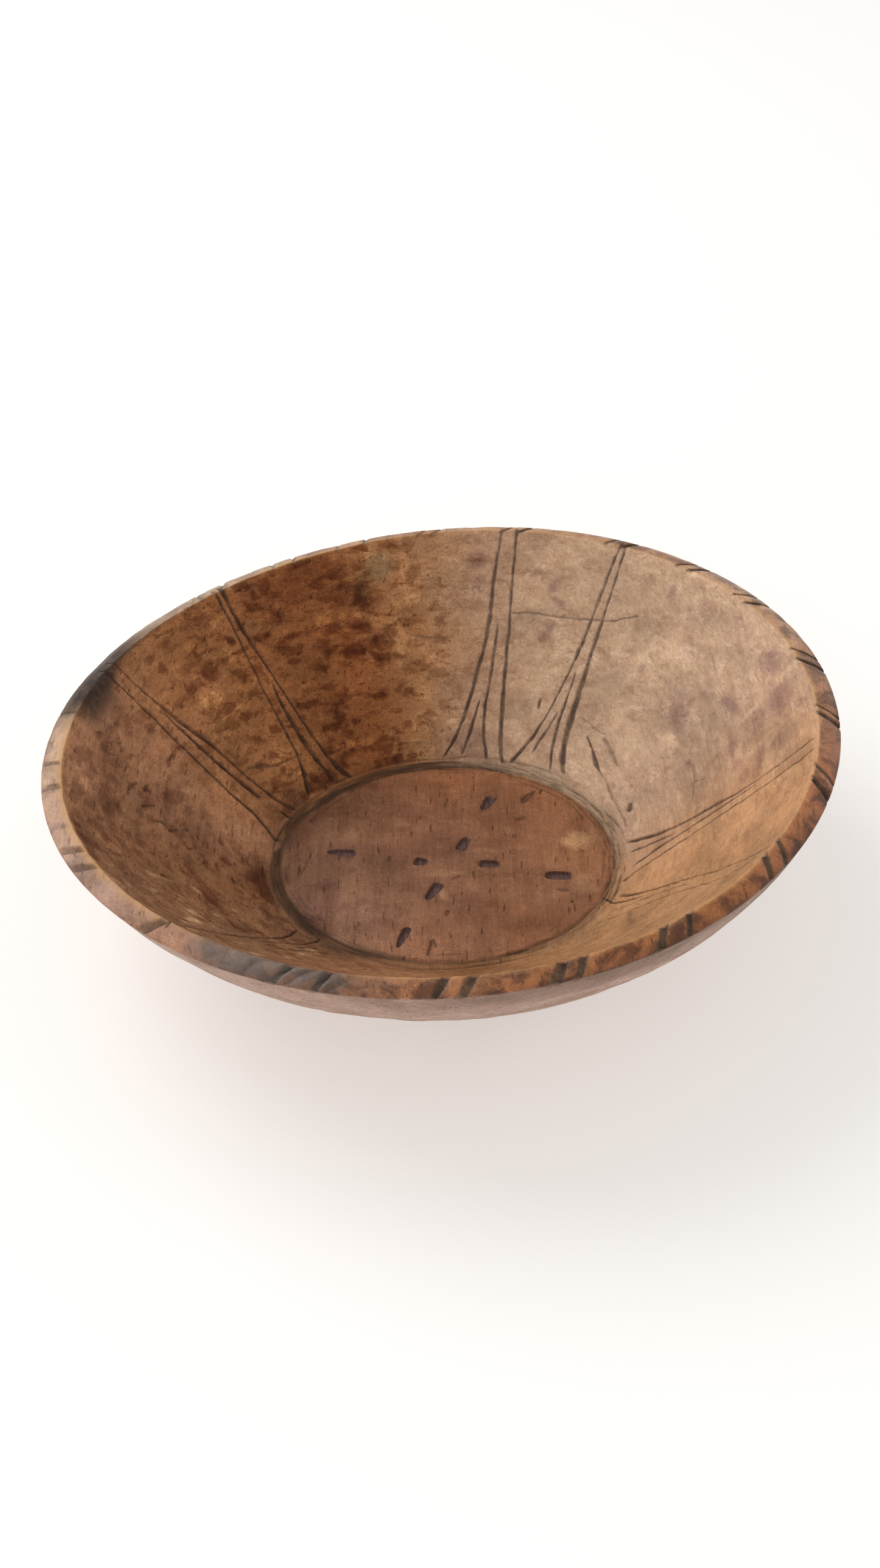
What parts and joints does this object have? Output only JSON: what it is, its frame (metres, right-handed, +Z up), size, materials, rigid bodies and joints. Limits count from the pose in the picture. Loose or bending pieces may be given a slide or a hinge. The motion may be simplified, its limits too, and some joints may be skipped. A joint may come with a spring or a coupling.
{
  "type": "carved wooden bowl",
  "caption": "Round shallow bowl carved from one block of wood, with gouge-cut rim notches, wall strokes and floor marks; stands on a flat base.",
  "frame": {"origin": "centre of the flat face the bowl stands on", "axes": "+Z up, out of the bowl's mouth; +X towards the highest side of the rim"},
  "size_m": [0.3455, 0.3455, 0.0997],
  "materials": {
    "wood": "satin, hand-tooled, worn"
  },
  "bodies": {
    "root": {"bowl": "wood"}
  },
  "joints": []
}
